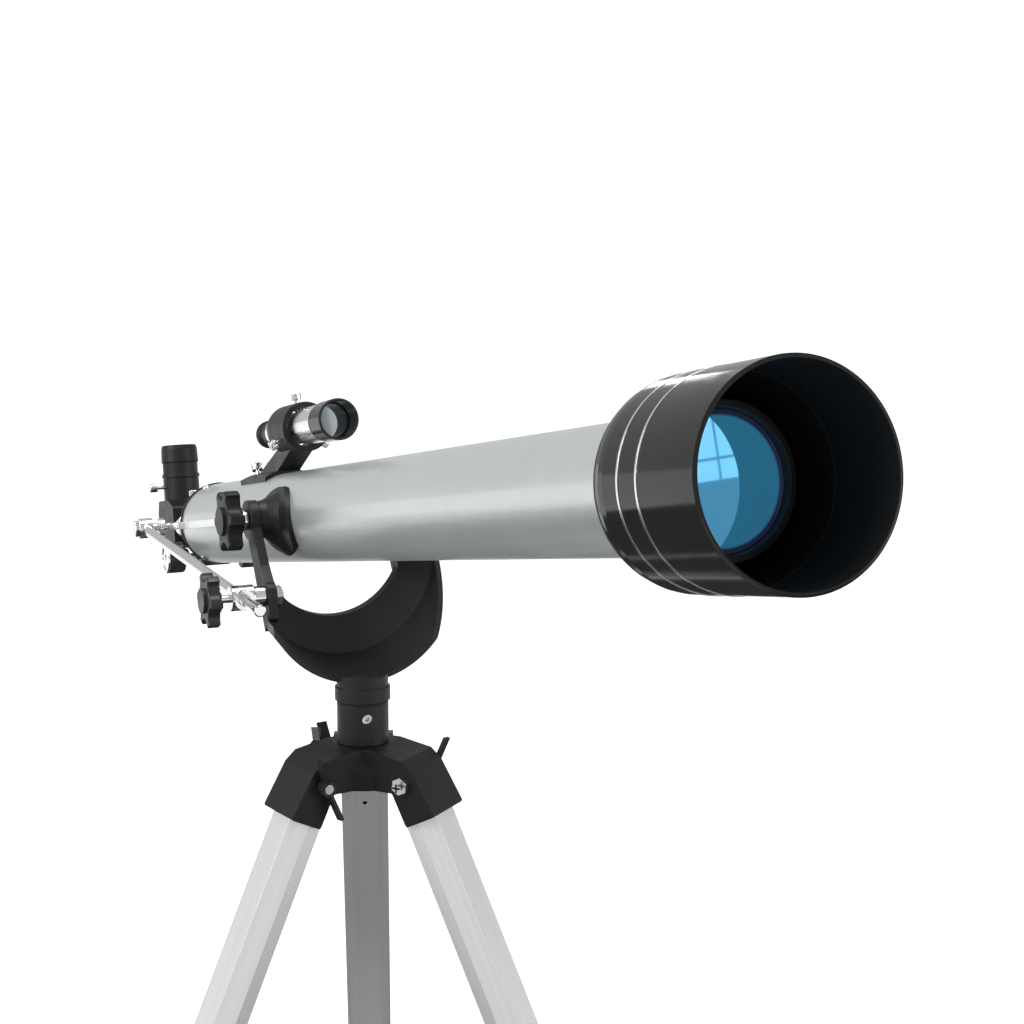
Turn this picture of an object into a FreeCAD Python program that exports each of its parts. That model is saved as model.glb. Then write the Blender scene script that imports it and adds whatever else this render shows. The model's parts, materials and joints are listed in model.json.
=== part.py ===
import FreeCAD, Part
import math
import os

# Refracting telescope with a 60 mm objective on a yoke alt-azimuth mount and a three-leg tripod.
# Millimetres. +Z is up, the origin lies on the floor under the azimuth axis, the objective points
# to +X and the altitude axis runs along Y.  "Near" is the -Y side, which carries the slow-motion rod.

V = FreeCAD.Vector
X_AXIS, Y_AXIS, Z_AXIS = V(1, 0, 0), V(0, 1, 0), V(0, 0, 1)

# Mount geometry: everything above the tripod is placed from the altitude pivot.
PIVOT_HEIGHT = 1310.0
PIVOT_OFFSET = 80.0
TUBE_ALTITUDE = 9.8
FIT = 0.05
GAP = 0.35

# Optical tube, measured along the tube axis from the pivot (front positive).
TUBE_R, TUBE_WALL = 30.5, 1.2
TUBE_REAR, TUBE_FRONT = -248.0, 512.0
SHIELD_R, SHIELD_WALL = 46.0, 1.8
SHIELD_FRONT, SHIELD_LENGTH = 590.0, 96.0
SHIELD_SHOULDER, SHIELD_MOUTH, SHIELD_STEP = 20.0, 45.0, 0.5
RING_PLACES, RING_WIDTH, RING_PROUD = (0.34, 0.51), 1.5, 0.25
LENS_CLEAR_R, LENS_R, LENS_FACE = 29.0, 30.6, 530.0
CELL_R, CELL_REAR = 33.0, 486.0

# Focuser, star diagonal and eyepiece.
FOCUSER_R, FOCUSER_REAR = 16.5, -300.0
DRAW_R, DRAW_WALL, DRAW_END, DRAW_FRONT = 13.4, 1.2, -333.0, -190.0
COLLAR_R, COLLAR_LENGTH = 15.6, 12.0
FOCUSER_BORE_R, PLUG_LENGTH = 14.6, 22.0
PINION_S, PINION_DROP, PINION_R = -284.0, -24.0, 6.0
PINION_TEETH, PINION_HALF_W, SHAFT_R = 12, 5.0, 2.5
RACK_TEETH_BEHIND, RACK_TEETH_AHEAD, RACK_HALF_W = 11, 20, 3.0
TOOTH_PITCH, TOOTH_DEPTH = 2 * math.pi * PINION_R / PINION_TEETH, 2.0
KNOB_R, KNOB_Y, KNOB_LENGTH = 12.0, 19.0, 18.0
EYEPIECE_S, EYEPIECE_TOP = -366.0, 67.0
DIAGONAL_R, DIAGONAL_HALF_W, SOCKET_TOP = 14.5, 16.0, 40.0
BARREL_R, BARREL_IN_R = 12.2, 9.6
MIRROR_HEIGHT, MIRROR_BACK, MIRROR_FACE = 2.0, -3.5, -1.5
DIAGONAL_SCREW_Z, THUMB_R = 33.0, 1.5

# Finder scope.
FINDER_HEIGHT, FINDER_REAR, FINDER_FRONT = 59.0, -103.0, 53.0
FINDER_RING_S, FINDER_FOOT_S = -34.0, -94.0
FINDER_TUBE_R, FINDER_RING_R, FINDER_SCREW_R = 10.6, 16.5, 1.4
FINDER_SCREW_ANGLES = (90.0, 210.0, 330.0)
FOOT_SCREW_R, FOOT_SCREW_Y = 1.6, 5.5

# Saddles, yoke, altitude knobs and slow-motion linkage.
SADDLE_LENGTH, SADDLE_HEIGHT, SADDLE_FACE = 64.0, 45.0, 42.6
SADDLE_AHEAD, SADDLE_DROP = 4.0, 2.5
YOKE_IN, YOKE_OUT = 43.0, 49.0
BAND_FRONT = ((5.0, -14.0, 46.5), (29.0, -14.0, 47.2), (45.0, -21.5, 61.0), (84.0, -31.5, 60.2))
BAND_BACK = ((22.0, -14.0, 50.5), (29.0, -16.0, 56.0), (37.0, -21.0, 64.5), (82.0, -31.0, 62.8))
BAND_TOP_NEAR, BAND_TOP_FAR = -93.0, 50.0
BAND_EDGE_X, BAND_EDGE_SLOPE = 29.0, 1.31
NECK_R, NECK_BASE, NECK_HOLE_R = 16.0, -130.7, 3.4
SPINDLE_R = 11.0
BOLT_R = 3.0
NEAR_KNOB_Y, FAR_KNOB_Y, KNOB_SOCKET = 55.4, 51.8, 7.5
LEVER_LENGTH = 229.0
CLAMP_SPOT_R = 8.0
CLAMP_DX, CLAMP_DZ = 36.0, -43.0
ROD_R, ROD_BEYOND, ROD_Y = 3.75, 42.0, -64.0

# Tripod head and legs.  The leg hinge lies at radius HINGE_R, height HINGE_Z.
LEG_AZIMUTHS = (160.0, 280.0, 40.0)
SPLAY = 24.4
HEAD_TOP = PIVOT_HEIGHT - 131.0
HINGE_R, HINGE_Z = 38.0, PIVOT_HEIGHT - 150.0
LEG_W, LEG_D = 30.0, 20.0
LEG_NOSE_W = 21.0
CHEEK = 3.2
WING_SPAN = 21.0
LEG_WALL = 1.2
OUTER_TOP, OUTER_END = -7.0, 640.0
INNER_TOP, FOOT_TOP = 610.0, 1240.0
BRACE_S, BRACE_IN, BRACE_RISE = 330.0, -19.0, 20.0
BRACE_HALF_H, BRACE_HALF_W, BRACE_PIN_R = 7.0, 3.0, 2.0
SPIDER_PIN_R, SPIDER_DEPTH, SPIDER_HUB_R = 30.0, 8.0, 6.5
TRAY_RISE, TRAY_HEIGHT, TRAY_FLOOR = 30.0, 8.0, 2.2
TRAY_INRADIUS, TRAY_LOBE_R, TRAY_RIM = 45.0, 78.0, 2.5
TRAY_HOLE_R, TRAY_HOLE_AT = 12.5, 60.0

PIVOT = V(-PIVOT_OFFSET, 0, PIVOT_HEIGHT)


# ---------------------------------------------------------------- helpers

def rod(radius, start, end):
    """Solid cylinder between two points."""
    axis = end - start
    return Part.makeCylinder(radius, axis.Length, start, axis)


def pipe(outer, inner, start, end):
    """Hollow cylinder between two points."""
    over = (end - start).normalize()
    return rod(outer, start, end).cut(rod(inner, start - over, end + over))


def block(x0, x1, y0, y1, z0, z1):
    """Box from its six face positions."""
    return Part.makeBox(x1 - x0, y1 - y0, z1 - z0, V(x0, y0, z0))


def plate(points, direction):
    """Closed polygon extruded by a vector."""
    return Part.Face(Part.makePolygon(points + points[:1])).extrude(direction)


def turned(profile, origin=V(0, 0, 0), axis=X_AXIS):
    """Solid of revolution about X from (x, r) points."""
    face = Part.Face(Part.makePolygon([V(x, 0, r) for x, r in profile + profile[:1]]))
    solid = face.revolve(V(0, 0, 0), X_AXIS, 360)
    solid.Placement = FreeCAD.Placement(origin, FreeCAD.Rotation(X_AXIS, axis))
    return solid


def hexagon(across_flats, height, centre, axis):
    """Hexagonal prism standing on centre."""
    corner = across_flats / math.sqrt(3)
    points = [V(corner * math.cos(math.radians(60 * k)), corner * math.sin(math.radians(60 * k)), 0)
              for k in range(6)]
    solid = plate(points, V(0, 0, height))
    solid.Placement = FreeCAD.Placement(centre, FreeCAD.Rotation(Z_AXIS, axis))
    return solid


def soft_edges(solid, radius, chosen):
    """Fillet the edges that the test picks."""
    edges = [edge for edge in solid.Edges if chosen(edge)]
    return solid.makeFillet(radius, edges)


def on_tube(shape):
    """Move a shape from the tube's frame (x along the tube, pivot at 0) to its place."""
    moved = shape.copy()
    moved.rotate(V(0, 0, 0), Y_AXIS, -TUBE_ALTITUDE)
    moved.translate(PIVOT)
    return moved


def on_mount(shape):
    """Move a shape from the pivot's level frame to its place."""
    moved = shape.copy()
    moved.translate(PIVOT)
    return moved


def on_leg(shape, azimuth):
    """Move a shape from the leg frame to its place.

    In the leg frame x is outward, y is tangential and -z runs down the leg from the hinge.
    """
    moved = shape.copy()
    moved.rotate(V(0, 0, 0), Y_AXIS, -SPLAY)
    moved.translate(V(HINGE_R, 0, HINGE_Z))
    moved.rotate(V(0, 0, 0), Z_AXIS, azimuth)
    return moved


def around(shape, azimuth):
    """Turn a shape about the azimuth axis."""
    moved = shape.copy()
    moved.rotate(V(0, 0, 0), Z_AXIS, azimuth)
    return moved


def lobed_knob(radius, thickness, bore, lobes, centre, axis):
    """Knob with deep finger scallops and a hub, lying along axis from centre."""
    knob = rod(radius, V(0, 0, 0), V(0, 0, thickness))
    scallop = radius * 0.42
    reach = radius * 1.12
    for k in range(lobes):
        angle = math.radians(360.0 * (k + 0.5) / lobes)
        at = V(reach * math.cos(angle), reach * math.sin(angle), -1)
        knob = knob.cut(rod(scallop, at, at + V(0, 0, thickness + 2)))
    knob = soft_edges(knob, thickness * 0.16, lambda e: abs(e.BoundBox.ZLength) < 0.01)
    knob = knob.fuse(rod(radius * 0.45, V(0, 0, -2.0), V(0, 0, thickness + 2.0)))
    knob = knob.cut(rod(bore, V(0, 0, -3.0), V(0, 0, thickness * 0.75)))
    knob.Placement = FreeCAD.Placement(centre, FreeCAD.Rotation(Z_AXIS, axis))
    return knob


def thumb_screw(shank, length, head, head_length, tip, outward):
    """Knurled thumb screw whose shank ends at tip and whose head lies outward."""
    neck = tip + outward * length
    head_solid = rod(head, neck, neck + outward * head_length)
    head_solid = soft_edges(head_solid, 0.5, lambda e: isinstance(e.Curve, Part.Circle))
    return rod(shank, tip, neck).fuse(head_solid)


def wing_part(hub, span, thickness, height, base, axis, wing_axis):
    """Round hub with two flat wings, standing on base along axis."""
    body = rod(hub, base, base + axis * height * 0.6)
    side = axis.cross(wing_axis).normalize() * thickness / 2
    for sign in (-1, 1):
        out = wing_axis * sign
        points = [base + axis * 0.5 + out * hub * 0.6,
                  base + axis * height * 0.45 + out * span,
                  base + axis * height + out * span * 0.95,
                  base + axis * height * 0.6 + out * hub * 0.6]
        body = body.fuse(plate([q - side for q in points], side * 2))
    return body


# ---------------------------------------------------------------- optical tube

def main_tube():
    """Aluminium tube with holes for the pivot bolts."""
    tube = pipe(TUBE_R, TUBE_R - TUBE_WALL, V(TUBE_REAR, 0, 0), V(TUBE_FRONT, 0, 0))
    return tube.cut(rod(BOLT_R, V(0, -40, 0), V(0, 40, 0)))


def objective_cell():
    """Stepped plastic cell that slides over the tube and seats the lens pair."""
    seat = LENS_FACE - 9.0
    return turned([(CELL_REAR, TUBE_R), (CELL_REAR, CELL_R), (LENS_FACE + 3, CELL_R),
                   (LENS_FACE + 3, LENS_R), (seat, LENS_R), (seat, LENS_CLEAR_R - 1.5),
                   (TUBE_FRONT, LENS_CLEAR_R - 1.5), (TUBE_FRONT, TUBE_R)])


def lens(front, rear, front_bulge, rear_bulge):
    """Round lens between two spherical faces, as points of arcs turned about the axis."""
    steps = 8
    profile = []
    for k in range(steps + 1):
        r = LENS_R * k / steps
        profile.append((front + front_bulge * (1 - (r / LENS_R) ** 2), r))
    for k in range(steps, -1, -1):
        r = LENS_R * k / steps
        profile.append((rear + rear_bulge * (1 - (r / LENS_R) ** 2), r))
    return turned(profile)


def objective_lenses():
    """Crown lens in front and flint lens behind it, air spaced by 0.2 mm at the edge."""
    crown = lens(LENS_FACE - 0.6, LENS_FACE - 3.6, 0.5, -1.4)
    flint = lens(LENS_FACE - 3.8, LENS_FACE - 8.8, -1.4, 0.6)
    return Part.makeCompound([crown, flint])


def lens_retaining_ring():
    """Threaded ring in front of the lenses, bevelled towards the glass."""
    rear = LENS_FACE - 0.4
    return turned([(rear, LENS_R), (LENS_FACE + 3, LENS_R), (LENS_FACE + 3, LENS_R - 0.4),
                   (LENS_FACE - 0.1, LENS_CLEAR_R), (rear, LENS_CLEAR_R)])


def dew_shield():
    """Wide glossy hood with a rounded rear shoulder that closes onto the cell."""
    rear = SHIELD_FRONT - SHIELD_LENGTH
    inner_r = SHIELD_R - SHIELD_WALL - SHIELD_STEP
    mouth = SHIELD_FRONT - SHIELD_MOUTH
    shoulder = []
    inside = []
    steps = 7
    for k in range(steps + 1):
        angle = math.radians(90.0 * k / steps)
        shoulder.append((rear + SHIELD_SHOULDER * (1 - math.sin(angle)),
                         CELL_R + 3 + (SHIELD_R - CELL_R - 3) * math.cos(angle)))
        inside.append((rear + SHIELD_WALL + (SHIELD_SHOULDER - SHIELD_WALL) * (1 - math.sin(angle)),
                       CELL_R + 3 + (inner_r - CELL_R - 3) * math.cos(angle)))
    profile = [(SHIELD_FRONT, SHIELD_R - SHIELD_WALL), (SHIELD_FRONT - 0.6, SHIELD_R)]
    profile += shoulder + [(rear, CELL_R), (rear + 14, CELL_R), (rear + 14, CELL_R + 1.5)]
    profile += [(rear + SHIELD_WALL, CELL_R + 1.5)] + inside[::-1]
    profile += [(mouth, inner_r), (mouth, SHIELD_R - SHIELD_WALL)]
    return turned(profile)


def dew_shield_rings():
    """Two thin bright bands let into the hood's outside."""
    rings = []
    for place in RING_PLACES:
        start = SHIELD_FRONT - SHIELD_LENGTH + SHIELD_LENGTH * place
        rings.append(pipe(SHIELD_R + RING_PROUD, SHIELD_R, V(start, 0, 0), V(start + RING_WIDTH, 0, 0)))
    return Part.makeCompound(rings)


def tube_baffles():
    """Blackened stop rings pressed inside the tube."""
    wall = TUBE_R - TUBE_WALL
    stops = ((380.0, 25.0), (200.0, 20.0), (60.0, 16.0))
    rings = [pipe(wall, r, V(s, 0, 0), V(s + 3, 0, 0)) for s, r in stops]
    return Part.makeCompound(rings)


def focuser_housing():
    """Plug in the tube's rear end, round body and the pinion block under it."""
    wall = TUBE_R - TUBE_WALL
    guide = FOCUSER_REAR + 12
    guide_r = DRAW_R + GAP
    body = turned([(TUBE_REAR + PLUG_LENGTH, FOCUSER_BORE_R), (TUBE_REAR + PLUG_LENGTH, wall),
                   (TUBE_REAR, wall), (TUBE_REAR, TUBE_R + 1), (TUBE_REAR - 2.5, TUBE_R + 1),
                   (TUBE_REAR - 4, TUBE_R - 0.5), (TUBE_REAR - 5, 20.0), (TUBE_REAR - 8, FOCUSER_R),
                   (FOCUSER_REAR + 1, FOCUSER_R), (FOCUSER_REAR, FOCUSER_R - 1),
                   (FOCUSER_REAR, guide_r), (guide, guide_r), (guide, FOCUSER_BORE_R)])
    pinion_block = block(PINION_S - 13, PINION_S + 13, -11, 11, PINION_DROP - 8, -12)
    pinion_block = soft_edges(pinion_block, 2.5, lambda e: e.BoundBox.ZLength > 5)
    bore = rod(FOCUSER_BORE_R, V(guide, 0, 0), V(TUBE_REAR, 0, 0))
    rear_bore = rod(guide_r, V(FOCUSER_REAR - 1, 0, 0), V(guide, 0, 0))
    body = body.fuse(pinion_block.cut(bore).cut(rear_bore))
    half = PINION_HALF_W + 0.4
    pinion_r = PINION_R + TOOTH_DEPTH
    pinion_room = rod(pinion_r, V(PINION_S, -half, PINION_DROP), V(PINION_S, half, PINION_DROP))
    rack_half = RACK_HALF_W + 0.6
    rack_room = block(FOCUSER_REAR - 1, TUBE_REAR + PLUG_LENGTH + 1, -rack_half, rack_half,
                      PINION_DROP + PINION_R - 1.2, -10)
    throat = block(PINION_S - 6, PINION_S + 6, -half, half, PINION_DROP, -12)
    shaft_hole = rod(SHAFT_R + FIT, V(PINION_S, -20, PINION_DROP), V(PINION_S, 20, PINION_DROP))
    return body.cut(pinion_room).cut(rack_room).cut(throat).cut(shaft_hole)


def focuser_screws():
    """Three countersunk screws through the tube into the focuser plug."""
    at = TUBE_REAR + 10
    screws = []
    for angle in (-125.0, -5.0, 115.0):
        out = V(0, math.cos(math.radians(angle)), math.sin(math.radians(angle)))
        base = V(at, 0, 0) + out * TUBE_R
        head = Part.makeCone(3.4, 2.2, 1.5, base, out)
        screws.append(head)
    return Part.makeCompound(screws)


def drawtube():
    """Bright drawtube with a black rear collar face, drilled for its set screw."""
    inner = DRAW_R - DRAW_WALL
    tube = pipe(DRAW_R, inner, V(DRAW_END, 0, 0), V(DRAW_FRONT, 0, 0))
    collar = pipe(COLLAR_R, inner, V(DRAW_END - 2, 0, 0), V(DRAW_END + COLLAR_LENGTH, 0, 0))
    collar = soft_edges(collar, 0.8, lambda e: e.BoundBox.YLength > 2 * DRAW_R + 1)
    tube = tube.fuse(collar)
    return tube.cut(rod(THUMB_R + FIT, V(DRAW_END + 5, 0, 0), V(DRAW_END + 5, 0, 30)))


def drawtube_rack():
    """Straight rack under the drawtube, in mesh with the pinion."""
    pitch_line = PINION_DROP + PINION_R
    root = pitch_line + 1.4
    front = PINION_S + TOOTH_PITCH * (RACK_TEETH_AHEAD + 1)
    rack = block(DRAW_END + COLLAR_LENGTH, front, -RACK_HALF_W, RACK_HALF_W, root, 0.4 - DRAW_R)
    for k in range(-RACK_TEETH_BEHIND, RACK_TEETH_AHEAD + 1):
        centre = PINION_S + TOOTH_PITCH * k
        points = [V(centre - 1.05, -RACK_HALF_W, root), V(centre + 1.05, -RACK_HALF_W, root),
                  V(centre + 0.35, -RACK_HALF_W, pitch_line - 0.7),
                  V(centre - 0.35, -RACK_HALF_W, pitch_line - 0.7)]
        rack = rack.fuse(plate(points, V(0, 2 * RACK_HALF_W, 0)))
    return rack.cut(rod(DRAW_R, V(DRAW_END - 5, 0, 0), V(DRAW_FRONT + 5, 0, 0)))


def pinion_shaft():
    """Cross shaft with a twelve-tooth pinion at its middle."""
    reach = KNOB_Y + KNOB_LENGTH - 1
    half = PINION_HALF_W
    shaft = rod(SHAFT_R, V(PINION_S, -reach, PINION_DROP), V(PINION_S, reach, PINION_DROP))
    gear = rod(PINION_R - 1.5, V(PINION_S, -half, PINION_DROP), V(PINION_S, half, PINION_DROP))
    for k in range(PINION_TEETH):
        points = [V(-0.85, -half, PINION_R - 2.0), V(0.85, -half, PINION_R - 2.0),
                  V(0.3, -half, PINION_R + 0.7), V(-0.3, -half, PINION_R + 0.7)]
        tooth = plate(points, V(0, 2 * half, 0))
        tooth.rotate(V(0, 0, 0), Y_AXIS, 360.0 * (k + 0.5) / PINION_TEETH)
        tooth.translate(V(PINION_S, 0, PINION_DROP))
        gear = gear.fuse(tooth)
    return shaft.fuse(gear)


def focus_knobs():
    """Pair of ribbed focus knobs pressed on the shaft ends."""
    knobs = []
    for side in (-1, 1):
        out = V(0, side, 0)
        base = V(PINION_S, side * KNOB_Y, PINION_DROP)
        knob = turned([(0, SHAFT_R), (0, 6), (3, 7), (4, KNOB_R - 0.6), (5, KNOB_R),
                       (KNOB_LENGTH - 1, KNOB_R), (KNOB_LENGTH, KNOB_R - 1), (KNOB_LENGTH, KNOB_R - 2.4),
                       (KNOB_LENGTH - 0.6, KNOB_R - 2.8), (KNOB_LENGTH - 0.6, SHAFT_R)], base, out)
        grooves = 20
        for k in range(grooves):
            angle = 2 * math.pi * k / grooves
            at = V(PINION_S + (KNOB_R + 0.3) * math.cos(angle), side * (KNOB_Y + 4.5),
                   PINION_DROP + (KNOB_R + 0.3) * math.sin(angle))
            knob = knob.cut(rod(0.8, at, at + out * (KNOB_LENGTH - 6)))
        knobs.append(knob)
    return Part.makeCompound(knobs)


def drawtube_set_screw():
    """Small thumb screw in the drawtube's collar that grips the diagonal."""
    return thumb_screw(THUMB_R, 11.0, 3.6, 5.0, V(DRAW_END + 5, 0, 12.4), Z_AXIS)


def at_mirror(shape):
    """Tilt a shape by 45 degrees into the mirror's place under the eyepiece."""
    shape.rotate(V(0, 0, 0), Y_AXIS, 45)
    shape.translate(V(EYEPIECE_S, 0, MIRROR_HEIGHT))
    return shape


def diagonal_housing():
    """Star diagonal: nose in the drawtube, slanted mirror box and eyepiece socket."""
    nose_r = DRAW_R - DRAW_WALL - FIT
    half = DIAGONAL_HALF_W
    front, rear = DRAW_END - 2.6, EYEPIECE_S - 20.0
    nose = rod(nose_r, V(front - 10, 0, 0), V(DRAW_END + 24, 0, 0))
    shell = plate([V(front, -half, -15), V(front, -half, 16), V(EYEPIECE_S + 15, -half, 22),
                   V(EYEPIECE_S - 16, -half, 22), V(rear, -half, 12), V(rear, -half, 8),
                   V(EYEPIECE_S + 8, -half, -18)], V(0, 2 * half, 0))
    shell = soft_edges(shell, 3.0, lambda e: e.BoundBox.YLength > 30)
    socket = rod(DIAGONAL_R, V(EYEPIECE_S, 0, 15), V(EYEPIECE_S, 0, SOCKET_TOP))
    body = nose.fuse(shell).fuse(socket)
    light = rod(nose_r - 1.4, V(EYEPIECE_S, 0, 0), V(DRAW_END + 26, 0, 0))
    light = light.fuse(rod(BARREL_R + FIT, V(EYEPIECE_S, 0, 0), V(EYEPIECE_S, 0, SOCKET_TOP + 1)))
    in_front = at_mirror(block(-90, 90, -30, 30, MIRROR_FACE, 90))
    room = at_mirror(block(-21, 21, 3 - half, half - 3, MIRROR_BACK, 14))
    room = room.common(block(rear + 4, front - 2, -half, half, -10.5, 19))
    body = body.cut(light.common(in_front)).cut(room)
    tip = V(EYEPIECE_S, 0, DIAGONAL_SCREW_Z)
    return body.cut(rod(THUMB_R + FIT, tip - Y_AXIS * (DIAGONAL_R + 1), tip - Y_AXIS * 10))


def diagonal_mirror():
    """Flat mirror at 45 degrees under the eyepiece axis."""
    return at_mirror(block(-13, 13, -12, 12, MIRROR_BACK, MIRROR_FACE))


def diagonal_set_screw():
    """Thumb screw on the near side that grips the eyepiece."""
    return thumb_screw(THUMB_R, 8.0, 3.6, 6.0, V(EYEPIECE_S, -12.5, DIAGONAL_SCREW_Z), V(0, -1, 0))


def eyepiece_body():
    """Eyepiece barrel, ribbed grip and cup."""
    low, step, top = 24.0, SOCKET_TOP + 0.4, EYEPIECE_TOP
    profile = [(low, BARREL_R), (step, BARREL_R), (step, 15.2), (step + 3, 15.2), (step + 3, 14.2),
               (step + 12, 14.2), (step + 13, 15.0), (top - 3, 14.6), (top, 13.6), (top, 9.0),
               (top - 5, 6.5), (top - 7, 6.5), (top - 7, BARREL_IN_R), (low, BARREL_IN_R)]
    return turned(profile, V(EYEPIECE_S, 0, 0), Z_AXIS)


def eyepiece_lenses():
    """Field lens and eye lens held inside the barrel."""
    field = rod(BARREL_IN_R, V(EYEPIECE_S, 0, 31), V(EYEPIECE_S, 0, 35))
    eye = rod(BARREL_IN_R, V(EYEPIECE_S, 0, EYEPIECE_TOP - 11), V(EYEPIECE_S, 0, EYEPIECE_TOP - 7))
    return Part.makeCompound([field, eye])


# ---------------------------------------------------------------- finder

def ring_screw_tip(angle, reach):
    """Direction and tip of one adjusting screw in the finder's ring."""
    out = V(0, math.cos(math.radians(angle)), math.sin(math.radians(angle)))
    return out, V(FINDER_RING_S, 0, FINDER_HEIGHT) + out * reach


def foot_screw_place(side):
    """Direction and tip of one mounting screw in the finder's foot."""
    lean = V(-0.35, 0, 0.94).normalize()
    return lean, V(FINDER_FOOT_S - 24, side * FOOT_SCREW_Y, TUBE_R + 0.5)


def finder_bracket():
    """Saddle foot on the tube, leaning post and ring around the finder."""
    foot = pipe(TUBE_R + 2.6, TUBE_R, V(FINDER_FOOT_S - 30, 0, 0), V(FINDER_FOOT_S + 32, 0, 0))
    foot = foot.common(block(FINDER_FOOT_S - 40, FINDER_FOOT_S + 40, -17, 17, 0, 50))
    low, high = TUBE_R + 1.0, FINDER_HEIGHT - 10
    post = plate([V(FINDER_FOOT_S - 14, -8, low), V(FINDER_FOOT_S + 30, -8, low),
                  V(FINDER_RING_S + 17, -8, high), V(FINDER_RING_S - 17, -8, high)], V(0, 16, 0))
    ring = pipe(FINDER_RING_R, 13.0, V(FINDER_RING_S - 19, 0, FINDER_HEIGHT),
                V(FINDER_RING_S + 19, 0, FINDER_HEIGHT))
    ring = soft_edges(ring, 1.2, lambda e: e.BoundBox.YLength > 32)
    post = post.cut(rod(14.0, V(-200, 0, FINDER_HEIGHT), V(100, 0, FINDER_HEIGHT)))
    bracket = foot.fuse(post).fuse(ring)
    for angle in FINDER_SCREW_ANGLES:
        out, tip = ring_screw_tip(angle, FINDER_TUBE_R)
        bracket = bracket.cut(rod(FINDER_SCREW_R + FIT, tip, tip + out * 12))
    for side in (-1, 1):
        lean, tip = foot_screw_place(side)
        bracket = bracket.cut(rod(FOOT_SCREW_R + FIT, tip - lean * 3, tip + lean * 6))
    return bracket.cut(rod(TUBE_R, V(-220, 0, 0), V(100, 0, 0)))


def finder_body():
    """Bright finder barrel, stepped wider to the front."""
    s0, s1 = FINDER_REAR + 26, FINDER_FRONT - 24
    mid = FINDER_RING_S + 22
    profile = [(s0, 9.0), (s0, FINDER_TUBE_R), (mid, FINDER_TUBE_R), (mid + 4, 12.2), (s1, 12.2),
               (s1, FINDER_TUBE_R), (mid + 5, FINDER_TUBE_R), (mid - 1, 9.0)]
    return turned(profile, V(0, 0, FINDER_HEIGHT))


def finder_front_cell():
    """Black front hood of the finder with a thread ring."""
    s0, s1 = FINDER_FRONT - 24, FINDER_FRONT
    profile = [(s0, 10.8), (s0, 12.9), (s0 + 3, 13.3), (s1 - 1, 13.3), (s1, 12.9), (s1, 11.9),
               (s0 + 8, 11.6), (s0 + 8, 10.8)]
    return turned(profile, V(0, 0, FINDER_HEIGHT))


def finder_eyepiece():
    """Black eyepiece of the finder with a flared cup."""
    s0, s1 = FINDER_REAR, FINDER_REAR + 26
    profile = [(s0, 6.5), (s0, 9.6), (s0 + 4, 9.8), (s0 + 7, 8.2), (s1 - 9, 8.2), (s1 - 8, 10.0),
               (s1, 10.0), (s1, 9.0 - FIT), (s1 + 8, 9.0 - FIT), (s1 + 8, 6.5)]
    return turned(profile, V(0, 0, FINDER_HEIGHT))


def finder_lenses():
    """Objective lens and eye lens of the finder."""
    front = rod(10.8, V(FINDER_FRONT - 23, 0, FINDER_HEIGHT), V(FINDER_FRONT - 20, 0, FINDER_HEIGHT))
    rear = rod(6.5, V(FINDER_REAR + 4, 0, FINDER_HEIGHT), V(FINDER_REAR + 7, 0, FINDER_HEIGHT))
    return Part.makeCompound([front, rear])


def finder_screws():
    """Three adjusting screws round the ring and two mounting screws in the foot."""
    screws = []
    for angle in FINDER_SCREW_ANGLES:
        out, tip = ring_screw_tip(angle, FINDER_TUBE_R)
        screws.append(thumb_screw(FINDER_SCREW_R, 8.0, 3.4, 4.5, tip, out))
    for side in (-1, 1):
        lean, tip = foot_screw_place(side)
        screws.append(thumb_screw(FOOT_SCREW_R, 4.2, 4.0, 5.0, tip, lean))
    return Part.makeCompound(screws)


# ---------------------------------------------------------------- mount

def saddle_plates():
    """Oval saddles on both sides of the tube, flared out to the pivot faces."""
    saddles = []
    for side in (-1, 1):
        centre = V(SADDLE_AHEAD, -SADDLE_DROP, 0)
        oval = Part.Ellipse(centre, SADDLE_LENGTH / 2, SADDLE_HEIGHT / 2).toShape()
        base = Part.Wire(oval)
        base.rotate(V(0, 0, 0), X_AXIS, 90)
        base.translate(V(0, side * 24.0, 0))
        neck = Part.Wire(Part.Circle(V(0, side * (SADDLE_FACE - 5), 0), Y_AXIS, 12.5).toShape())
        face = Part.Wire(Part.Circle(V(0, side * SADDLE_FACE, 0), Y_AXIS, 11.5).toShape())
        cone = Part.makeLoft([base, neck], True, True).fuse(Part.makeLoft([neck, face], True, True))
        oval_prism = Part.Face(base).extrude(V(0, side * 12, 0))
        skin = pipe(TUBE_R + 3, TUBE_R, V(-40, 0, 0), V(40, 0, 0)).common(oval_prism)
        saddle = cone.fuse(skin).cut(rod(TUBE_R, V(-60, 0, 0), V(60, 0, 0)))
        saddles.append(saddle.cut(rod(BOLT_R, V(0, -60, 0), V(0, 60, 0))))
    return Part.makeCompound(saddles)


def altitude_bolts():
    """Bolts from inside the tube through saddle and yoke arm to the knobs."""
    bolts = []
    for side, knob_y in ((-1, NEAR_KNOB_Y), (1, FAR_KNOB_Y)):
        out = V(0, side, 0)
        shank = rod(BOLT_R, out * 24, out * (knob_y + KNOB_SOCKET - 0.4))
        bolts.append(shank.fuse(rod(5.5, out * 23, out * 27.5)))
    return Part.makeCompound(bolts)


def altitude_knob(side, knob_y):
    """Large lobed knob on the bolt outside the yoke arm."""
    return lobed_knob(20.5, 10.0, BOLT_R + FIT, 6, V(0, side * knob_y, 0), V(0, side, 0))


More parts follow.
